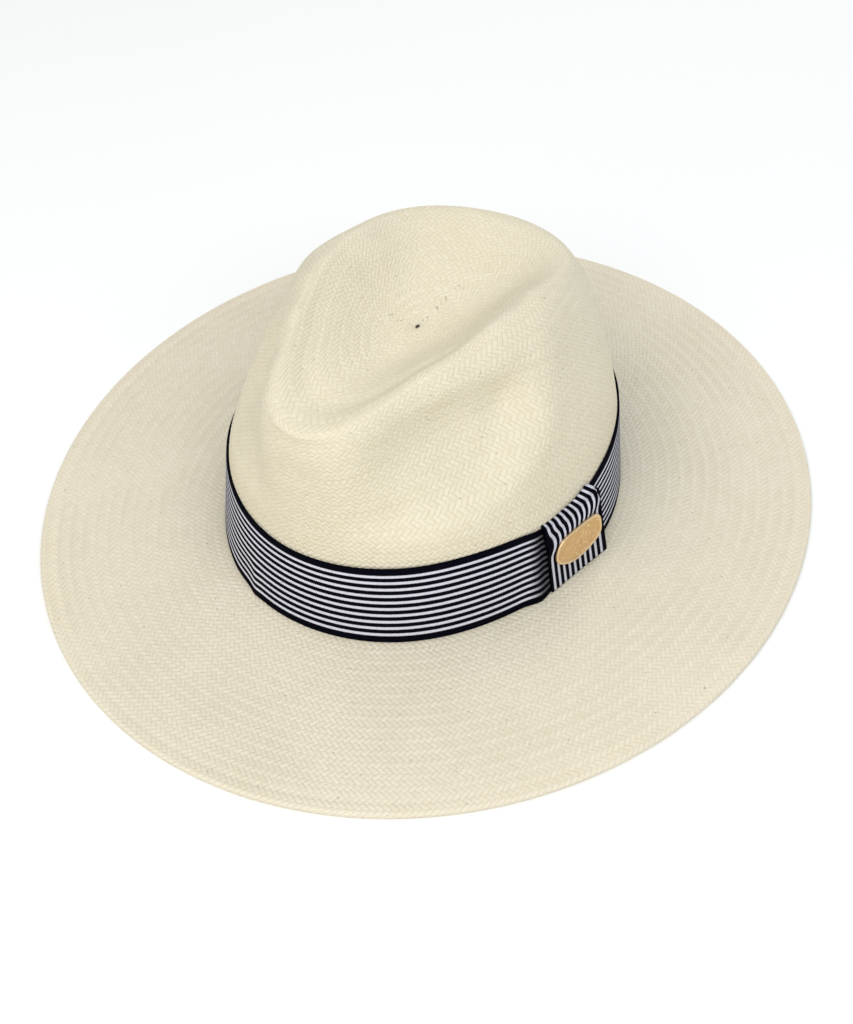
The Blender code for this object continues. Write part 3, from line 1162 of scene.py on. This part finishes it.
@dataclass
class StrawCrown:
    """The teardrop crown, pinched beside the nose, with a dent along its top.

    Heights here are mean distances up the crown's outside from the ribbon's upper edge. Angles are
    in degrees from the front, the same on both sides.

    Attributes:
        ridge_line: Heights and angles through which the ridge behind each pinch runs.
        ridge: How far the ridge stands out, and over which heights.
        hollow_depth: Depth of the pinch between the nose and the ridge.
        shoulder: Swelling of the wall under the crest.
        crest: How far the dent's wall sinks just inside the crest at the front, crisp as a fold.
        valley: How far the dent is filled beside its middle.
        rear: How far the crest rises behind the ridges.
        lines: Corners of the lines of gaps that run from the rosette, seen from above.
        lines_reach: Distance from the crown's middle up to which they are looked for.
    """

    form: HatForm
    weave: Weave = Weave(ring_step=0.656, column_pitch=2.9)
    below_ribbon: float = 5.0
    rosette_ahead: float = 7.5
    rosette_reach: float = 42.0
    ridge_line: tuple[tuple[float, ...], ...] = ((8, 14, 23, 37, 64, 84), (44, 51, 65, 77, 86, 90))
    ridge: Swell = Swell(0.0, 9.0, 1.0)
    ridge_heights: Stretch = Stretch(14.0, 40.0, 58.0, 80.0)
    hollow_depth: float = 4.2
    hollow_heights: Stretch = Stretch(8.0, 27.0, 44.0, 68.0)
    hollow_edge: Pair = (0.0, 26.0)
    nose_edge: Pair = (6.0, 24.0)
    shoulder: Swell = Swell(67.0, 7.0, 1.3)
    shoulder_degrees: Stretch = Stretch(14.0, 36.0, 60.0, 90.0)
    crest: Swell = Swell(88.0, 6.5, 2.0)
    crest_end: Pair = (30.0, 70.0)
    valley: Swell = Swell(97.0, 8.0, 1.4)
    valley_degrees: Stretch = Stretch(50.0, 80.0, 120.0, 150.0)
    rear: Swell = Swell(79.0, 12.0, 1.2)
    rear_degrees: Swell = Swell(112.0, 20.0)
    hole_radius: float = 0.7
    hole_rim: float = 0.3
    rosette_hole_shade: float = 1.3
    lines: tuple[Pair, ...] = ((-16.5, -9.4), (0.0, -9.4), (1.0, 24.0), (11.0, 22.0))
    lines_reach: float = 50.0
    line_width: float = 0.9
    line_shade: float = 0.75
    line_depth: float = 0.2
    inner_rings: int = 26
    inner_points: int = 180
    inner_crowding: float = 0.9
    inner_columns: int = 318
    inner_levels: float = 16.0
    seed: int = 7

    def outside(self, at: float, angle: Array) -> Array:
        """Find points of the outside, with the rosette set ahead of the axis.

        Args:
            at: Their height.
            angle: Angles from the front.

        Returns:
            Points, one row each.
        """
        turned = (angle + math.pi) % FULL_TURN - math.pi
        degrees = np.abs(np.degrees(turned))
        swell, sink = self.swelling(at, degrees), self.sinking(at, degrees)
        left = self.form.crown_knots[-1] - at
        ahead = self.rosette_ahead * (1 - ease(left, 0, self.rosette_reach))
        moves = [swell * np.sin(turned), -swell * np.cos(turned) - ahead, -sink]
        return self.form.crown_point(at, turned) + np.stack(moves, axis=-1)

    def swelling(self, at: float, degrees: Array) -> Array:
        """Give how far the wall stands out from the plain form.

        Args:
            at: The height.
            degrees: The angles.

        Returns:
            Distances outwards, below 0 in a pinch's hollow.
        """
        ridge = np.interp(at, *self.ridge_line)
        inside = ease(ridge - degrees, *self.hollow_edge) * ease(degrees, *self.nose_edge)
        hollow = self.hollow_depth * inside * self.hollow_heights.at(at)
        along_ridge = self.ridge.at(degrees - ridge) * self.ridge_heights.at(at)
        return along_ridge + self.shoulder.at(at) * self.shoulder_degrees.at(degrees) - hollow

    def sinking(self, at: float, degrees: Array) -> Array:
        """Give how far the top sinks under the plain form.

        Args:
            at: The height.
            degrees: The angles.

        Returns:
            Distances down.
        """
        front = self.crest.at(at) * (1 - ease(degrees, *self.crest_end))
        side = self.valley.at(at) * self.valley_degrees.at(degrees)
        return front - side - self.rear.at(at) * self.rear_degrees.at(degrees)

    def open_rosette(self, row: Row) -> tuple[Array, Array]:
        """Open the rosette's hole and the lines of gaps that run from it, with painted shade in them.

        Args:
            row: A row of the crown.

        Returns:
            A further height and how open each gap is.
        """
        flat = np.zeros(len(row.angle))
        left = self.form.crown_knots[-1] - row.at
        if left > self.lines_reach:
            return flat, flat
        if left < self.hole_radius + self.hole_rim:
            # Painted shade round the rosette's hole.
            return flat, flat + self.rosette_hole_shade
        near = flat + FAR
        corners = np.array(self.lines)
        for start, run in zip(corners, np.diff(corners, axis=0)):
            off = row.points[:, :2] - start
            share = np.clip(off @ run / (run @ run), 0, 1)
            near = np.minimum(near, np.linalg.norm(off - share[:, None] * run, axis=1))
        some = np.mod(row.column * 7 + row.level * 3, 11) < 6
        # Painted shade in the lines of gaps.
        gaps = row.crossings * (near < self.line_width) * some * self.line_shade
        return -self.line_depth * gaps, gaps

    def build(self) -> bpy.types.Object:
        """Weave the crown outside and line it with a plain inside.

        Returns:
            The crown's object.
        """
        shell = Shell()
        foot, end = -self.form.ribbon_width, self.form.crown_knots[-1] - self.hole_radius
        start = -self.below_ribbon
        face = WovenFace(self.weave, self.outside, self.open_rosette, start, end, 0.0, self.seed)
        angle = spread_evenly(self.outside(foot, whole_ring()), self.inner_points)
        first = shell.ring(self.outside(foot, angle), -self.inner_levels)
        rings = [face.lay(shell, first)]
        for k in range(self.inner_rings + 1):
            share = k / self.inner_rings
            at = end + (foot - end) * share**self.inner_crowding
            angle = spread_evenly(self.outside(at, whole_ring()), self.inner_points)
            lining = self.outside(at, angle) - face.facing(at, angle) * self.form.straw
            rings.append(shell.ring(lining, rings[0].level + self.inner_levels * share))
        shell.join([*rings, first], self.inner_columns)
        return shell.to_object("straw_crown")


@dataclass
class HatBand:
    """The striped ribbon round the foot of the crown.

    Places round the ribbon are in degrees from the front towards the wearer's left.

    Attributes:
        crease: The crease right of the front, and beside_crease the hollow next to it.
        crease_end: Shares of the ribbon's width over which the two end.
        bulge: How far the lower edge stands out ahead of the loop.
        tuck: How far the upper part is drawn in there, and tuck_start where that begins.
        upper_waves: Height of the five waves of the upper edge.
        small_waves: Height of the nine waves of the whole ribbon.
        front_dip: How far the upper edge rises at the front, below 0 for down.
        side_rise: The same on the wearer's left, and loop_dip ahead of the loop.
        edge_roll: How far the upper edge rolls down, and right_roll how much more on the right.
        right_side: Degrees towards the wearer's right over which it does.
        gather_shadow: How dark the painted shadow on the gathered stretch beside the loop is.
    """

    form: HatForm
    columns: int = 560
    rows: int = 30
    edge_radius: float = 0.45
    crease: Swell = Swell(-15.6, 1.8, 0.5)
    beside_crease: Swell = Swell(-20.0, 3.5, -0.3)
    crease_end: Pair = (0.3, 0.5)
    bulge: Swell = Swell(62.6, 3.8, 2.0)
    tuck: Swell = Swell(64.5, 2.0, -0.7)
    tuck_start: Pair = (0.1, 0.4)
    upper_waves: float = 0.25
    small_waves: float = 0.15
    front_dip: Swell = Swell(0.0, 14.0, -0.9)
    side_rise: Swell = Swell(38.0, 12.0, 0.4)
    loop_dip: Swell = Swell(66.0, 6.0, -1.4)
    edge_roll: float = 0.9
    right_roll: float = 0.6
    right_side: Stretch = Stretch(-6.0, 14.0, 90.0, 150.0)
    gather_shadow: float = 0.85
    gather_start: Pair = (58.0, 64.0)
    gather_end: float = 88.0

    def face(self, share: float, out: float, angle: Array) -> Array:
        """Find points of the ribbon, with the creases and waves of the real one.

        Args:
            share: How far up the ribbon, from 0 to 1.
            out: How far outside its inner face.
            angle: Angles from the front.

        Returns:
            Points, one row each.
        """
        degrees = np.degrees(angle)
        low = 1 - ease(share, *self.crease_end)
        wave = (self.crease.at(degrees) + self.beside_crease.at(degrees)) * low
        wave = wave + self.bulge.at(degrees) * (1 - share) ** 2
        wave = wave + self.tuck.at(degrees) * ease(share, *self.tuck_start)
        wave = wave + self.upper_waves * np.sin(5 * angle + 1.0) * share
        wave = wave + self.small_waves * np.sin(9 * angle + 4.0)
        reach, height = self.form.ribbon_ring(share, out - self.form.ribbon_thickness + wave, angle)
        height = height + (self.front_dip.at(degrees) + self.loop_dip.at(degrees)) * share**2
        height = height + self.side_rise.at(degrees) * share
        roll = self.edge_roll + self.right_roll * self.right_side.at(-degrees)
        return self.form.place(reach, height - roll * share**12, angle)

    def profile(self) -> list[Pair]:
        """Give the ribbon's outline: share of its width and distance outside its inner face."""
        thick, step = self.form.ribbon_thickness, self.edge_radius / self.form.ribbon_width
        turns = np.linspace(0, math.pi, 7)
        lower = [(step * (1 - math.sin(a)), thick / 2 * (1 - math.cos(a))) for a in turns]
        face = [(share, thick) for share in np.linspace(step, 1 - step, self.rows + 1)[1:-1]]
        upper = [(1 - share, thick - out) for share, out in lower]
        back = [(share, 0.0) for share in np.linspace(1 - step, step, 5)[1:-1]]
        return lower + face + upper + back

    def build(self) -> bpy.types.Object:
        """Make the ribbon's closed strip.

        Returns:
            The ribbon's object.
        """
        shell = Shell()
        around = self.face(0.5, self.form.ribbon_thickness, whole_ring(2 * AROUND_RING))
        angle = spread_evenly(around, self.columns)
        degrees = np.degrees(angle)
        # Painted shadow on the gathered stretch before the loop.
        gather_shadows = self.gather_shadow * ease(degrees, *self.gather_start) * (degrees < self.gather_end)
        rings = []
        for share, out in self.profile():
            level = share * self.form.ribbon_width
            rings.append(shell.ring(self.face(share, out, angle), level, 0.0, gather_shadows))
        shell.join([*rings, rings[0]], walk(around)[-1])
        return shell.to_object("ribbon_band")


@dataclass
class BandKeeper:
    """The loop of the same ribbon over its joint, with standing stripes.

    Places across the loop run from -1 near its front edge to 1 near its rear one.

    Attributes:
        finish: The ribbon's finish, for the distance between stripes.
        middle: Angle of the loop's middle, and slant how far the loop leans over the ribbon.
        half_angle: Half of the loop's width, and flare how much wider its foot is.
        stand_off: How far the loop stands off the ribbon in its middle.
        rear_lift: How much farther at the rear, and bow how much farther at both edges.
        foot: Height of its foot over the ribbon's lower edge.
        roll: Radius with which it rolls over the ribbon's upper edge.
        first_stripe_at: Place of the first stripe, and stripe_gap the distance to the next.
        crease: Height of the crease that the plate pulls, in its middle, and how far it climbs.
        pull: How far the crease draws the ribbon back, by the height over it.
        pull_across: Places across the loop over which it does.
        puff: Swelling below the crease, and dip the crease itself.
        corner_drop: How far the front upper corner hangs.
        drop_heights: Shares of the ribbon's width over which it begins to hang.
        outline_length: Distance round the loop's outline, along which its ribs are laid.
    """

    form: HatForm
    finish: RibbonFinish
    middle: float = 76.5
    slant: float = 3.2
    half_angle: float = 11.2
    flare: float = 0.7
    thickness: float = 1.0
    stand_off: float = 1.0
    rear_lift: float = 1.5
    bow: float = 1.4
    foot: float = 0.5
    roll: float = 1.4
    columns: int = 72
    rows: int = 44
    first_stripe_at: float = -0.85
    stripe_gap: float = 0.198
    front_edge: float = -0.97
    rear_edge: float = 1.11
    crease: Pair = (0.87, 0.11)
    pull: Swell = Swell(0.0, 0.13, 0.21)
    pull_across: Stretch = Stretch(-1.0, -0.86, 0.97, 1.1)
    puff: Swell = Swell(-0.12, 0.09, 0.9)
    dip: Swell = Swell(0.02, 0.05, 0.6)
    corner_drop: float = 1.8
    drop_heights: Pair = (0.4, 1.0)
    outline_length: float = 90.0

    def stand(self, across: Array) -> Array:
        """How far the loop's outer face stands off the ribbon."""
        return self.stand_off + self.thickness + self.rear_lift * across + self.bow * across**2

    def angle(self, across: Array, share: float) -> Array:
        """Angles at a share of the way up the loop."""
        middle = self.middle + self.slant * (0.5 - share)
        return np.radians(middle + (self.half_angle + self.flare * (0.5 - share)) * across)

    def point(self, across: Array, share: float, inwards: Array) -> Array:
        """Find points of the loop.

        Args:
            across: Places across it.
            share: How far up the ribbon.
            inwards: Distance inside the loop's outer face.

        Returns:
            Points, one row each.
        """
        above = share - (self.crease[0] + self.crease[1] * across)
        angle = self.angle(across + self.pull.at(above) * self.pull_across.at(across), share)
        swell = (self.puff.at(above) - self.dip.at(above)) * (1 - np.abs(across / self.rear_edge) ** 6)
        reach, height = self.form.ribbon_ring(share, self.stand(across) - inwards + swell, angle)
        drop = self.corner_drop * ease(share, *self.drop_heights) * ease(-across, 0.0, 1.0)
        return self.form.place(reach, height - drop, angle)

    def path(self, across: Array) -> list[tuple[float, Array]]:
        """Give the loop's outline, from its foot up, over the ribbon's edge and down inside.

        Args:
            across: Places across the loop.

        Returns:
            Shares of the ribbon's width and distances inside the loop's outer face.
        """
        width, flat = self.form.ribbon_width, 0 * across
        lip, radius = 1 + self.form.clearance / width, self.roll / width
        over = 1 + (self.form.clearance + self.thickness) / width
        behind = self.stand(across) + self.form.ribbon_thickness
        path = [(share, flat) for share in np.linspace(self.foot / width, 0.985, self.rows)]
        for turn in np.linspace(0.15, 0.5, 6) * math.pi:
            share = over - radius + radius * math.sin(turn)
            path.append((share, self.roll * (1 - math.cos(turn)) + flat))
        path += [(over, self.roll + (behind - self.roll) * share) for share in (0.35, 0.7, 1.0)]
        path += [(lip, behind), (lip, self.thickness + flat)]
        inner = np.linspace(0.95, self.foot / width, 12)
        return path + [(share, self.thickness + flat) for share in inner]

    def build(self) -> bpy.types.Object:
        """Make the loop's closed panel, column by column.

        Returns:
            The loop's object.
        """
        shell = Shell()
        across = np.linspace(self.rear_edge, self.front_edge, self.columns + 1)
        grid = np.array([self.point(across, share, inwards) for share, inwards in self.path(across)])
        stripe = (across - self.first_stripe_at) / self.stripe_gap
        levels = self.finish.first_stripe + stripe * self.finish.pitch
        rings = [shell.ring(grid[:, k], float(level)) for k, level in enumerate(levels)]
        shell.join(rings, self.outline_length)
        shell.cap(rings[0], grid[:, 0].mean(axis=0), False, self.outline_length)
        shell.cap(rings[-1], grid[:, -1].mean(axis=0), True, self.outline_length)
        return shell.to_object("ribbon_keeper")


@dataclass
class Plate:
    """Oval metal plate on the loop, with a raised border round a hammered, bare field.

    Attributes:
        height: Height of its middle over the ribbon's lower edge, and at_angle its angle.
        tilt: How far it is turned.
        rim_width: Width of the border, and rim_height how far it stands over the field.
        rim_highlight: How bright the painted highlight on the border is.
        back_edge: Rounding of the edge at the back, and back_inset where the flat back starts.
        dents: Number of the field's dents, and dent_reach how far out they lie, as a share.
        squareness: Power of the outline, 2 for an oval, and corner_squareness how much it varies.
        outline_length: Length given to each ring, though the plate's finish doesn't read it.
    """

    form: HatForm
    keeper: BandKeeper
    half_length: float = 13.7
    half_height: float = 9.5
    thickness: float = 1.0
    height: float = 20.9
    at_angle: float = 77.4
    tilt: float = math.radians(5.5)
    sides: int = 128
    rim_width: float = 1.3
    rim_height: float = 0.35
    rim_highlight: float = 0.7
    bevel: float = 0.3
    back_edge: float = 0.25
    back_inset: float = 6.0
    field_rings: int = 26
    field_middle: float = 0.5
    dents: int = 110
    dent_reach: float = 0.94
    dent_radius: float = 1.15
    dent_depth: float = 0.24
    squareness: float = 2.6
    corner_squareness: float = 0.9
    outline_length: float = 90.0

    def point(self, x: Array, y: Array, out: Array) -> Array:
        """Bend points of the flat plate to the loop.

        Args:
            x: Distance back along the ribbon.
            y: Distance up it.
            out: Height off the plate's back.

        Returns:
            Points, one row each.
        """
        form, keeper = self.form, self.keeper
        share = (self.height + y) / form.ribbon_width
        middle_angle = math.radians(self.at_angle)
        reach, _ = form.ribbon_ring(share, 0.0, np.full_like(x, middle_angle))
        angle = middle_angle + x / reach
        middle = np.radians(keeper.middle + keeper.slant * (0.5 - share))
        across = (angle - middle) / math.radians(keeper.half_angle)
        reach, height = form.ribbon_ring(share, keeper.stand(across) + form.clearance + out, angle)
        return form.place(reach, height, angle)

    def outline(self, inset: float) -> tuple[Array, Array]:
        """Give the plate's outline, or a smaller one inside it.

        Args:
            inset: Distance inside the plate's edge.

        Returns:
            Distances back along the ribbon and up it.
        """
        turn = np.arange(self.sides) * FULL_TURN / self.sides
        power = 2 / (self.squareness + self.corner_squareness * np.cos(turn - math.pi / 4))
        x, y = (np.sign(part) * np.abs(part) ** power for part in (np.cos(turn), np.sin(turn)))
        x, y = (self.half_length - inset) * x, (self.half_height - inset) * y
        level, upright = math.cos(self.tilt), math.sin(self.tilt)
        return x * level - y * upright, x * upright + y * level

    def hammering(self, x: Array, y: Array) -> Array:
        """Give the depth of the small dents that cover the field.

        Args:
            x: Distance back along the ribbon.
            y: Distance up it.

        Returns:
            Depths, 0 between the dents.
        """
        number = np.arange(self.dents)
        radius = np.sqrt((number + 0.5) / self.dents) * self.dent_reach
        turn = number * GOLDEN_TURN
        dent_x = radius * np.cos(turn) * (self.half_length - self.rim_width)
        dent_y = radius * np.sin(turn) * (self.half_height - self.rim_width)
        gap = np.hypot(x[:, None] - dent_x, y[:, None] - dent_y).min(axis=1)
        return self.dent_depth * np.clip(1 - (gap / self.dent_radius) ** 2, 0, 1)

    def profile(self) -> list[Pair]:
        """Give the plate's section from the back over the border: inset and height."""
        top, bevel, border = self.thickness, self.bevel, self.rim_width
        rim, back = top + self.rim_height, self.back_edge
        outer = [(self.back_inset, 0.0), (back, 0.0), (0.0, back), (0.0, rim - bevel)]
        over = [(bevel * 0.3, rim - bevel * 0.3), (bevel, rim), (border - bevel / 2, rim)]
        field = np.linspace(border + bevel, self.half_height - self.field_middle, self.field_rings)
        return outer + over + [(border, rim - bevel / 2)] + [(inset, top) for inset in field]

    def build(self) -> bpy.types.Object:
        """Make the plate's closed body.

        Returns:
            The plate's object.
        """
        shell = Shell()
        rings = []
        for inset, out in self.profile():
            x, y = self.outline(inset)
            height = np.full_like(x, out)
            if inset > self.rim_width + self.bevel:
                height -= self.hammering(x, y)
            on_border = 0 < inset < self.rim_width and out > self.bevel
            # The border gets a painted highlight through the mark.
            mark = self.rim_highlight * on_border
            rings.append(shell.ring(self.point(x, y, height), inset, 0.0, mark))
        shell.join(rings, self.outline_length)
        nothing = np.zeros(1)
        top = self.point(nothing, nothing, nothing + self.thickness)[0]
        shell.cap(rings[-1], top, True, self.outline_length)
        shell.cap(rings[0], self.point(nothing, nothing, nothing)[0], False, self.outline_length)
        return shell.to_object("gold_plate")


def link(name: str, data: bpy.types.ID) -> bpy.types.Object:
    """Put a mesh, light or camera into the scene.

    Args:
        name: The new object's name.
        data: What it shows.

    Returns:
        The object.
    """
    thing = bpy.data.objects.new(name, data)
    bpy.context.scene.collection.objects.link(thing)
    return thing


@dataclass(frozen=True)
class SoftLight:
    """A large square light that looks at the hat.

    Attributes:
        turn: Its angle from the hat's front towards the wearer's left, in degrees.
        rise: Its angle above the floor, in degrees.
        watts: Its power.
        side: Its side, in metres, and away its distance.
    """

    name: str
    turn: float
    rise: float
    watts: float
    colour: tuple[float, float, float]
    side: float = 1.2
    away: float = 2.0

    def hang(self, aim: Vector) -> None:
        """Hang the light.

        Args:
            aim: The place that it looks at, in metres.
        """
        turn, rise = math.radians(self.turn), math.radians(self.rise)
        level = math.cos(rise)
        back = Vector((level * math.sin(turn), -level * math.cos(turn), math.sin(rise)))
        data = bpy.data.lights.new(self.name, "AREA")
        data.size = self.side
        data.energy = self.watts
        data.color = self.colour
        thing = link(self.name, data)
        thing.location = aim + back * self.away
        thing.rotation_mode = "QUATERNION"
        thing.rotation_quaternion = (-back).to_track_quat("-Z", "Y")


@dataclass
class Studio:
    """Pale floor, soft lights and the camera.

    Attributes:
        turn: The camera's angle round the hat from the front, in the crown's leaning frame.
        rise: The camera's angle above the crown's foot.
        nod: How far the camera looks above the middle of the hat.
        away: Its distance, in metres.
        focal_share: Focal length as a share of the picture's long side.
        sensor: Width of the camera's sensor, in millimetres.
        floor_half: Half of the floor's side, in metres.
        aim_height: Height of the place that the lights look at, in metres.
        sky: Colour of the light from all round.
    """

    form: HatForm
    turn: float = math.radians(29.57)
    rise: float = math.radians(43.0412)
    nod: float = math.radians(0.6909)
    away: float = 0.79551
    focal_share: float = 1758.08 / 1024
    sensor: float = 36.0
    floor_half: float = 3.0
    aim_height: float = 0.05
    sky: tuple[float, float, float] = (0.87, 1.0, 1.13)
    sky_strength: float = 0.40
    soft_lights: tuple[SoftLight, ...] = (
        SoftLight("front_key", 0, 50, 12.8, (1.0, 1.0, 1.02)),
        SoftLight("left_key", 50, 50, 15.6, (1.0, 1.0, 1.02)),
        SoftLight("right_fill", -50, 50, 4.6, (1.15, 1.0, 0.74)),
        SoftLight("right_side", -100, 50, 2.4, (1.15, 1.0, 0.74)),
        SoftLight("front_low", 0, 25, 3.1, (1.2, 1.0, 0.5)),
        SoftLight("left_low", 80, 25, 2.2, (1.2, 1.0, 0.5)),
        SoftLight("behind", 180, 25, 11.4, (1.04, 1.0, 0.92)),
    )

    def floor(self) -> None:
        """Lay the floor."""
        mesh = bpy.data.meshes.new("floor")
        side = self.floor_half
        corners = [(-side, -side, 0), (side, -side, 0), (side, side, 0), (-side, side, 0)]
        mesh.from_pydata(corners, [], [(0, 1, 2, 3)])
        mesh.materials.append(FloorFinish().material("pale_floor"))
        link("floor", mesh)

    def lights(self) -> None:
        """Hang the lights and light the surroundings."""
        for light in self.soft_lights:
            light.hang(Vector((0, 0, self.aim_height)))
        world = bpy.data.worlds.new("surroundings")
        world.use_nodes = True
        backdrop = world.node_tree.nodes["Background"]
        backdrop.inputs["Color"].default_value = (*self.sky, 1)
        backdrop.inputs["Strength"].default_value = self.sky_strength
        bpy.context.scene.world = world
        bpy.context.scene.view_settings.view_transform = "Standard"

    def camera(self) -> None:
        """Set the camera at the photograph's angle to the hat."""
        lean = Matrix.Rotation(-self.form.crown_lean, 3, "X")
        back = Vector((math.sin(self.turn), -math.cos(self.turn), 0)) * math.cos(self.rise)
        back = lean @ (back + Vector((0, 0, math.sin(self.rise))))
        right = lean @ Vector((math.cos(self.turn), math.sin(self.turn), 0))
        up = back.cross(right)
        axis = (back * math.cos(self.nod) + up * math.sin(self.nod)).normalized()
        data = bpy.data.cameras.new("camera")
        data.sensor_width = self.sensor
        data.lens = self.focal_share * self.sensor
        middle = Vector((0, -self.form.crown_ahead, self.form.crown_lift)) * MM
        turned = Matrix((right, axis.cross(right), axis)).transposed().to_4x4()
        thing = link("camera", data)
        thing.matrix_world = Matrix.Translation(middle + back * self.away) @ turned
        bpy.context.scene.camera = thing


def main() -> None:
    """Build and dress the hat, then set the studio round it."""
    logging.basicConfig(level=logging.INFO, format="%(message)s")
    form, finish = HatForm(), RibbonFinish()
    # The crown's straw is a brighter, yellower copy: partly its own tint, partly painted light for a
    # crown lit more than the brim.
    crown_pale, crown_deep = (0.770, 0.706, 0.558, 1), (0.715, 0.644, 0.480, 1)
    straw = StrawFinish().material("woven_straw")
    crown_straw = StrawFinish(pale=crown_pale, deep=crown_deep, ring_shade=0.04, hem_share=0.0)
    tinted_lit_crown = crown_straw.material("woven_straw_crown")
    ribbon = finish.material("striped_ribbon")
    gold = PlateFinish().material("satin_gold")
    keeper = BandKeeper(form, finish)
    dress(StrawBrim(form).build(), straw, "straw_body")
    dress(StrawCrown(form).build(), tinted_lit_crown, "straw_body")
    dress(HatBand(form).build(), ribbon, "hat_band")
    dress(keeper.build(), ribbon, "band_keeper")
    dress(Plate(form, keeper).build(), gold, "badge")
    studio = Studio(form)
    studio.floor()
    studio.lights()
    studio.camera()


if __name__ == "__main__":
    main()
